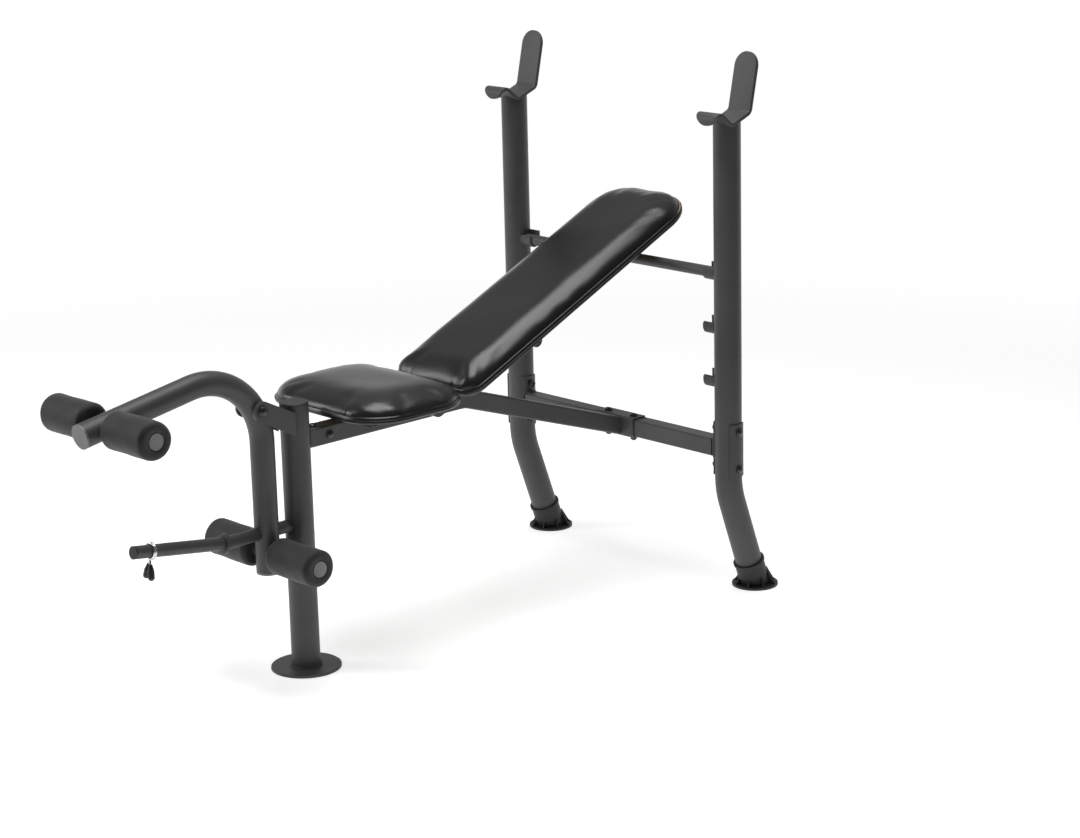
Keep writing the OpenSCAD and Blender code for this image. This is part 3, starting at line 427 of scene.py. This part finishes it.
def swell(made, pinned_below, pressure, cap, frames=16):
    """Blows the pad up as a cloth bag, its underside held to its board. A point that would move by m
    moves by cap * tanh(m / cap), so none goes further than cap."""
    mesh = made.data
    before = mesh_points(mesh)
    freed_over = 0.006
    held = made.vertex_groups.new(name="held")
    weight = np.round(1 - smooth_mask(before[:, 2], pinned_below, pinned_below + freed_over), 1)
    for level in np.unique(weight[weight > 0]):
        held.add(np.nonzero(weight == level)[0].tolist(), float(level), "REPLACE")
    cloth = made.modifiers.new("cloth", "CLOTH")
    cloth.settings.quality = 5
    cloth.settings.use_pressure = True
    cloth.settings.uniform_pressure_force = pressure
    cloth.settings.vertex_group_mass = held.name
    cloth.settings.tension_stiffness = 20
    cloth.settings.compression_stiffness = 20
    cloth.settings.bending_stiffness = 2.0
    cloth.settings.effector_weights.gravity = 0.0
    cloth.point_cache.frame_start, cloth.point_cache.frame_end = 1, frames
    scene = bpy.context.scene
    for step in range(1, frames + 1):
        scene.frame_set(step)
    shown = made.evaluated_get(bpy.context.evaluated_depsgraph_get()).to_mesh()
    move = mesh_points(shown) - before
    reach = np.linalg.norm(move, axis=1)
    move *= (cap * np.tanh(reach / cap) / np.maximum(reach, 1e-9))[:, None]
    made.modifiers.remove(cloth)
    mesh.vertices.foreach_set("co", (before + move).ravel())
    scene.frame_set(1)


def crease(co, pad):
    """Moves the side in and out along the outline, as drawn vinyl does: short puckers near the board,
    long low waves at the shoulder, both sines of the distance round the outline with a wandering phase.
    The top sags by a product of two sines across it."""
    pucker_depth, pucker_length = 0.00030, 0.031
    wave_depth, wave_length = 0.0011, 0.098
    sag_depth = 0.0006
    half = np.array([pad.width, pad.length]) / 2
    corner = (pad.low_r + pad.high_r) / 2
    flat = co[:, :2] - np.array([0.0, half[1]])
    core = np.clip(flat, corner - half, half - corner)
    away = flat - core
    reach = np.linalg.norm(away, axis=1)
    out = away / np.maximum(reach, 1e-6)[:, None]
    rim = smooth_mask(reach, corner * 0.62, corner)
    around = np.arctan2(out[:, 1], out[:, 0]) * corner + core[:, 1] * np.sign(out[:, 0]) + core[:, 0]
    height = co[:, 2] / pad.depth
    pucker = pucker_depth * np.sin(around * 2 * pi / pucker_length + 1.3 * np.sin(around * 41.0))
    wave = wave_depth * np.sin(around * 2 * pi / wave_length + 2.0 * np.sin(around * 17.0))
    pucker *= np.exp(-((height - 0.12) / 0.14) ** 2)
    wave *= np.exp(-((height - 0.60) / 0.30) ** 2)
    co[:, :2] += out * (rim * (pucker + wave))[:, None]
    sag = sag_depth * np.sin(co[:, 1] * 37.0 + 3 * co[:, 0]) * np.sin(co[:, 0] * 29.0 + 0.6)
    co[:, 2] += sag * smooth_mask(height, 0.8, 1.0)


def cushion(name, pad, body, node):
    """The swollen pad: remeshed, blown up, ironed smooth, subdivided and creased, then put on its board."""
    made = add_mesh(name, *pad_form(pad, start=0.002), "vinyl")
    apply_modifier(made, "REMESH", mode="VOXEL", voxel_size=0.005)
    swell(made, pinned_below=0.003, pressure=4.0, cap=0.005)
    apply_modifier(made, "SMOOTH", factor=0.5, iterations=14)
    apply_modifier(made, "SUBSURF", levels=1, render_levels=1)
    co = mesh_points(made.data)
    crease(co, pad)
    made.data.vertices.foreach_set("co", pad.placed(co).ravel())
    made.data.update()
    shade_smooth(made.data)
    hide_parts(node)
    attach(made, body)


def vinyl_hem(name, pad, body):
    """The vinyl drawn up round the board's edge and back under it: a thin closed profile of inset and
    height, given in millimetres, carried round the outline. Its lower flap gathers in low sine pleats."""
    profile = np.array([
        (4.2, 12.6), (2.4, 9.0), (0.6, 5.5), (-0.3, 3.0), (0.2, 0.9), (2.0, -0.7), (5.0, -1.1), (14.0, -1.2),
        (26.0, -1.1), (26.6, -0.5), (26.0, 0.1), (14.0, 0.0), (6.3, 0.0), (3.5, 0.7), (1.6, 2.2), (1.4, 5.5),
        (3.2, 9.0), (5.0, 12.6)]) * 0.001
    count, pleats, pleat_depth = 480, 96, 0.0005
    run = np.linspace(0, 2 * pi, count, endpoint=False)
    grid = np.empty((len(profile), count, 3))
    for row, (inset, height) in zip(grid, profile):
        row[:, :2] = pad.outline(inset, count)
        gather = smooth_mask(np.array(inset), 0.004, 0.026) * pleat_depth
        row[:, 2] = height - gather * (1 + np.sin(run * pleats + 2.0 * np.sin(run * 7)))
    ring_surface(name, pad.placed(grid.reshape(-1, 3)).reshape(grid.shape), "vinyl", body)


def seam_cord(name, pad, body, rise, radius):
    """A sewn cord round the pad near its lower edge: a round section carried along the outline."""
    count, inset = 420, 0.0002
    path = np.column_stack([pad.outline(inset, count), np.full(count, rise)])
    up = np.array(pad.place.to_3x3())[:, 2]
    bead(name, pad.placed(path), up, radius, body, ripples=210.0, finish="vinyl")


# How far the pad's outline reaches past its board, how far its underside is above the board's, and how
# far the seat's pad is set back on its board
BOARD_INSET = 0.006
PAD_LIFT = 0.0008
SEAT_SHIFT = 0.0005


def incline_of(board):
    """A flat board's lowest point, and the slope of the line from it to the lower edge of its far end: the
    point near the middle that is furthest along Y once a share of its height is taken off."""
    half_breadth, height_share = 0.09, 0.45
    points = mesh_points(board.data)
    middle = points[np.abs(points[:, 0]) < half_breadth]
    low = points[np.argmin(points[:, 2])]
    high = middle[np.argmax(middle[:, 1] - middle[:, 2] * height_share)]
    return low, np.arctan2(high[2] - low[2], high[1] - low[1])


seat_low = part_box("seat_board")[0]
seat = Pad(width=0.358, length=0.272, low_r=0.088, high_r=0.088, side=0.012, depth=0.0435, crown=0.098,
           place=Matrix.Translation((0, seat_low[1] - BOARD_INSET + SEAT_SHIFT, seat_low[2] + PAD_LIFT)))
back_low, incline = incline_of(frame["nodes"]["back_board"])
back = Pad(width=0.252, length=0.728, low_r=0.038, high_r=0.092, side=0.010, depth=0.0395, crown=0.055,
           place=Matrix.Translation((0, back_low[1], back_low[2])) @ Matrix.Rotation(incline, 4, "X")
           @ Matrix.Translation((0, -BOARD_INSET, PAD_LIFT)))
for label, pad, body in (("seat", seat, "frame"), ("back", back, "backrest")):
    cushion(label + "_cushion", pad, body, label + "_pad")
    vinyl_hem(label + "_hem", pad, body)
    seam_cord(label + "_seam", pad, body, rise=0.0062, radius=0.0010)


# ---- foam rolls --------------------------------------------------------------------------------

def foam_roll(name, body, seed):
    """A roll about X: its profile of rims and ends turned all round, the radius swelling a little by
    three slow waves along and round it; the outer end is recessed round its plug."""
    low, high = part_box(name)
    side = 1 if low[0] > 0 else -1
    outer, inner = (high[0], low[0]) if side > 0 else (low[0], high[0])
    centre = (low + high) / 2
    skin_room, wave_height, rings = 0.0006, 0.00028, 30
    radius = (high[2] - low[2]) / 2 - skin_room
    bore, recess, rim, deep = 0.01275, 0.0167, 0.010, 0.006
    recess_round, bore_round = 0.0012, 0.001
    length = abs(outer - inner)
    bend = np.linspace(0, pi / 2, 9)
    profile = np.concatenate([
        [[deep, bore], [deep, recess], [recess_round, recess], [0.0, recess + 0.0015]],
        np.column_stack([rim - rim * np.cos(bend), radius - rim + rim * np.sin(bend)]),
        np.column_stack([np.linspace(rim, length - rim, rings)[1:-1], np.full(rings - 2, radius)]),
        np.column_stack([length - rim + rim * np.sin(bend), radius - rim + rim * np.cos(bend)]),
        [[length, bore + bore_round], [length - bore_round, bore]],
    ])
    turn = np.linspace(0, 2 * pi, 96, endpoint=False)
    along, out = profile[:, 0][:, None], profile[:, 1][:, None]
    waves = (np.sin(3 * turn + seed + along * 40) + np.sin(2 * turn - seed * 2 - along * 63)
             + np.sin(5 * turn + seed * 3 + along * 110) * 0.6)
    out = out + wave_height * waves * smooth_mask(out, recess + 0.003, radius)
    grid = np.stack([outer - side * along + 0 * turn,
                     centre[1] + out * np.cos(turn), centre[2] + out * np.sin(turn)], -1)
    made = ring_surface(name + "_foam", grid, "foam", body)
    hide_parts(name)


for seed, (node_name, body) in enumerate((
        ("upper_roll_left", "upper_left_roll"), ("upper_roll_right", "upper_right_roll"),
        ("lower_roll_left", "lower_left_roll"), ("lower_roll_right", "lower_right_roll"))):
    foam_roll(node_name, body, seed * 1.7 + 0.4)


# ---- bar cradles -------------------------------------------------------------------------------

def rounded_path(corners, radii, count=14):
    """A flat path through the corners, each inner one an arc that touches both its sides."""
    corners = [np.array(c, float) for c in corners]
    path = [corners[0]]
    for a, b, c, r in zip(corners, corners[1:], corners[2:], radii):
        u, v = (a - b) / np.linalg.norm(a - b), (c - b) / np.linalg.norm(c - b)
        half = np.arccos(np.clip(u @ v, -1, 1)) / 2
        middle = b + (u + v) / np.linalg.norm(u + v) * r / np.sin(half)
        p, q = b + u * r / np.tan(half) - middle, b + v * r / np.tan(half) - middle
        swing, t = pi - 2 * half, np.linspace(0, 1, count)[:, None]
        path.extend(middle + (p * np.sin(swing * (1 - t)) + q * np.sin(swing * t)) / np.sin(swing))
    path.append(corners[-1])
    return np.array(path)


def refine(path, step):
    """The open path again with extra points, so that none is further than step from the next."""
    parts = [np.linspace(a, b, max(2, int(np.ceil(np.linalg.norm(b - a) / step)) + 1))[:-1]
             for a, b in zip(path[:-1], path[1:])]
    return np.vstack(parts + [path[-1:]])


def bevelled_strip(name, path, half_width, thickness, edge, x, finish, body):
    """A plate bent along a path in the YZ plane. Its section at each point is a rectangle across X with
    quarter-round edges; half_width gives half its breadth there. Both ends are closed flat."""
    ahead = np.gradient(path, axis=0)
    ahead /= np.linalg.norm(ahead, axis=1)[:, None]
    normal = np.stack([-ahead[:, 1], ahead[:, 0]], 1)
    steps, flat = 6, thickness / 2 - edge
    bend = np.linspace(0, pi / 2, steps)
    quarter = np.stack([np.cos(bend), np.sin(bend)], 1)
    section = []
    for side, face in ((1, 1), (-1, 1), (-1, -1), (1, -1)):
        q = quarter if side == face else quarter[::-1]
        section.append(np.stack([np.full(steps, side), side * edge * (q[:, 0] - 1),
                                 face * flat + face * edge * q[:, 1]], 1))
    section = np.concatenate(section)
    limit = half_width[:, None]
    across = np.clip(section[None, :, 0] * limit + section[None, :, 1], -limit, limit)
    through = section[None, :, 2]
    grid = np.stack([x + across, path[:, 0][:, None] + normal[:, 0][:, None] * through,
                     path[:, 1][:, None] + normal[:, 1][:, None] * through], -1)
    rows, columns = grid.shape[:2]
    faces = [tuple(f) for f in grid_faces(rows, columns, False)]
    faces.append(tuple(range(columns - 1, -1, -1)))
    faces.append(tuple(range((rows - 1) * columns, rows * columns)))
    made = add_mesh(name, grid.reshape(-1, 3), faces, finish)
    bpy.context.view_layer.objects.active = made
    bpy.ops.object.select_all(action="DESELECT")
    made.select_set(True)
    bpy.ops.object.mode_set(mode="EDIT")
    bpy.ops.mesh.select_all(action="SELECT")
    bpy.ops.mesh.normals_make_consistent(inside=False)
    bpy.ops.object.mode_set(mode="OBJECT")
    made.data.set_sharp_from_angle(angle=radians(50))
    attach(made, body)
    return made


def rounded_ends(line, radius):
    """Half a strip's breadth along it: radius, and at both ends half circles of that radius. Steps near
    the ends follow the circle's angle, so that its tip is smooth."""
    along = np.concatenate([[0], np.cumsum(np.linalg.norm(np.diff(line, axis=0), axis=1))])
    curl = radius * (1 - np.cos(np.linspace(0.06, pi / 2, 20)))
    straight = along[(along > radius) & (along < along[-1] - radius)]
    at = np.concatenate([curl, straight, (along[-1] - curl)[::-1]])
    line = np.stack([np.interp(at, along, line[:, k]) for k in range(2)], 1)
    left = radius - np.minimum(np.minimum(at, along[-1] - at), radius)
    return line, np.sqrt(radius ** 2 - left ** 2)


# The plate's thickness and the round of its edges; its valley's place in front of the uprights' axis and
# over the floor; the lengths of its straight runs, their angles, and the radii of the bends between them
PLATE_T, PLATE_EDGE = 0.0078, 0.0016
VALLEY_FWD, VALLEY_H = 0.015, 1.002
FRONT_RUN, REAR_RUN, LIP_RUN = 0.0545, 0.0585, 0.0315
SLOPE_IN, SLOPE_OUT, LIP_DROP, LEAN = radians(39), radians(21), radians(82), radians(12.5)
BEND_RADII = [0.0105, 0.010, 0.014]


def cradle_path(tube_y, top):
    """A cradle plate's middle line in the YZ plane, from the tip of its lip up to the front edge, down into
    the valley that holds the bar, up the rear slope, and up the leaning back to the top."""
    top_room, step = 0.0003, 0.0022
    valley = np.array([tube_y - VALLEY_FWD, VALLEY_H])
    front = valley + FRONT_RUN * np.array([-cos(SLOPE_IN), sin(SLOPE_IN)])
    lip = front + LIP_RUN * np.array([-cos(LIP_DROP), -sin(LIP_DROP)])
    rear = valley + REAR_RUN * np.array([cos(SLOPE_OUT), sin(SLOPE_OUT)])
    rise = top - rear[1] - PLATE_T / 2 * sin(LEAN) - top_room
    back_top = rear + rise * np.array([tan(LEAN), 1.0])
    return refine(rounded_path([lip, front, valley, rear, back_top], BEND_RADII), step)


tube_y = (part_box("crossbar")[0][1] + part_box("crossbar")[1][1]) / 2
cradle_low, cradle_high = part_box("cradle_left")
plate_line, breadth = rounded_ends(cradle_path(tube_y, cradle_high[2]), (cradle_high[0] - cradle_low[0]) / 2)
for node_name in ("cradle_left", "cradle_right"):
    low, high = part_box(node_name)
    plate = bevelled_strip(node_name + "_plate", plate_line, breadth, PLATE_T, PLATE_EDGE,
                           (low[0] + high[0]) / 2, "powder_coat", "frame")
    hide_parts(node_name)


# ---- weld beads --------------------------------------------------------------------------------

def circle_path(centre, radius, count):
    """A level circle's points."""
    turn = np.linspace(0, 2 * pi, count, endpoint=False)
    return np.stack([centre[0] + radius * np.cos(turn), centre[1] + radius * np.sin(turn),
                     np.full(count, centre[2])], 1)


leg_low, leg_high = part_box("front_leg")
leg_middle = (leg_low + leg_high) / 2
leg_radius = (leg_high[0] - leg_low[0]) / 2
bead("leg_weld", circle_path((leg_middle[0], leg_middle[1], leg_low[2] + 0.0006), leg_radius + 0.001, 360),
     (0, 0, 1), 0.0026, "frame", ripples=45)

cross_low, cross_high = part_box("crossbar")
cross_half = (cross_high[2] - cross_low[2]) / 2
cross_mid = (cross_high + cross_low) / 2
cross_corner = 0.004
upright_low, upright_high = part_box("upright_right")
upright_x = (upright_low[0] + upright_high[0]) / 2
saddle_radius = upright_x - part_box("inner_saddle_right")[0][0]
for side in (-1, 1):
    square = round_corners(2 * cross_half, 2 * cross_half, cross_corner, cross_corner, 0.0)
    loop = even_steps(square, 240)
    y, z = loop[:, 0], loop[:, 1] - cross_half
    x = upright_x - np.sqrt(saddle_radius ** 2 - y ** 2)
    bead("crossbar_weld_" + ("left" if side < 0 else "right"),
         np.stack([side * x, cross_mid[1] + y, cross_mid[2] + z], 1), (side, 0, 0), 0.0021, "frame",
         ripples=36)


# ---- light and floor ---------------------------------------------------------------------------

def light(name, place, target, size, power):
    """A soft box of light at the place, turned to the target; power in watts."""
    lamp = bpy.data.lights.new(name, "AREA")
    lamp.shape, lamp.size, lamp.size_y, lamp.energy = "RECTANGLE", size[0], size[1], power
    made = bpy.data.objects.new(name, lamp)
    made.location = place
    made.rotation_euler = (Vector(target) - Vector(place)).to_track_quat("-Z", "Y").to_euler()
    bpy.context.scene.collection.objects.link(made)


WHITE = (1.0, 1.0, 1.0, 1.0)
BEHIND = (-0.727, 0.687, 0.0)


def studio():
    """A white backdrop that lights the object softly from behind and hardly at all from the front:
    brightness rises with a direction's share towards the back, and falls above the horizon."""
    world = bpy.data.worlds.new("studio")
    bpy.context.scene.world = world
    f = Finish("studio", world)
    towards = f.node("ShaderNodeVectorMath", {"operation": "DOT_PRODUCT"}, {0: f.place, 1: BEHIND},
                     out="Value")
    height = f.node("ShaderNodeSeparateXYZ", {}, {0: f.place}, out="Z")
    glow = towards.ramp(-0.15, 0.75) * (1 - height.ramp(0.05, 0.45) * 0.75)
    seen = f.node("ShaderNodeLightPath", out="Is Camera Ray")
    strength = (0.10 + glow * 1.05) * (1 - seen) + seen
    f.end(f.node("ShaderNodeBackground", {}, {"Color": WHITE, "Strength": strength}), "ShaderNodeOutputWorld")


def white_floor(radius):
    """A pale floor that glows a little and fades out towards its rim into the white backdrop."""
    f = Finish("floor")
    haze = f.noise(0.8, 2.0)
    across = f.node("ShaderNodeVectorMath", {"operation": "LENGTH"}, {0: f.place}, out="Value")
    paper = f.node("ShaderNodeBsdfPrincipled", {}, {
        "Base Color": f.mix(haze, grey(0.90), grey(0.93)), "Roughness": 0.85,
        "Emission Color": WHITE, "Emission Strength": 0.52})
    clear = f.node("ShaderNodeBsdfTransparent")
    faded = across.ramp(radius * 0.45, radius * 0.95)
    f.end(f.node("ShaderNodeMixShader", {}, {0: faded, 1: paper, 2: clear}))
    rim = circle_path((0, 0, 0), radius, 128)
    mesh = bpy.data.meshes.new("floor")
    mesh.from_pydata(rim.tolist(), [], [tuple(range(len(rim)))])
    mesh.materials.append(f.material)
    floor = bpy.data.objects.new("floor", mesh)
    bpy.context.scene.collection.objects.link(floor)


studio()
light("top", place=(0.1, 0.1, 3.2), target=(0, 0, 0.3), size=(1.8, 1.8), power=62)
light("front_left", place=(-2.6, -2.4, 2.0), target=(0, -0.1, 0.7), size=(1.0, 1.8), power=42)
white_floor(radius=4.0)
bpy.context.scene.view_settings.view_transform = "Standard"
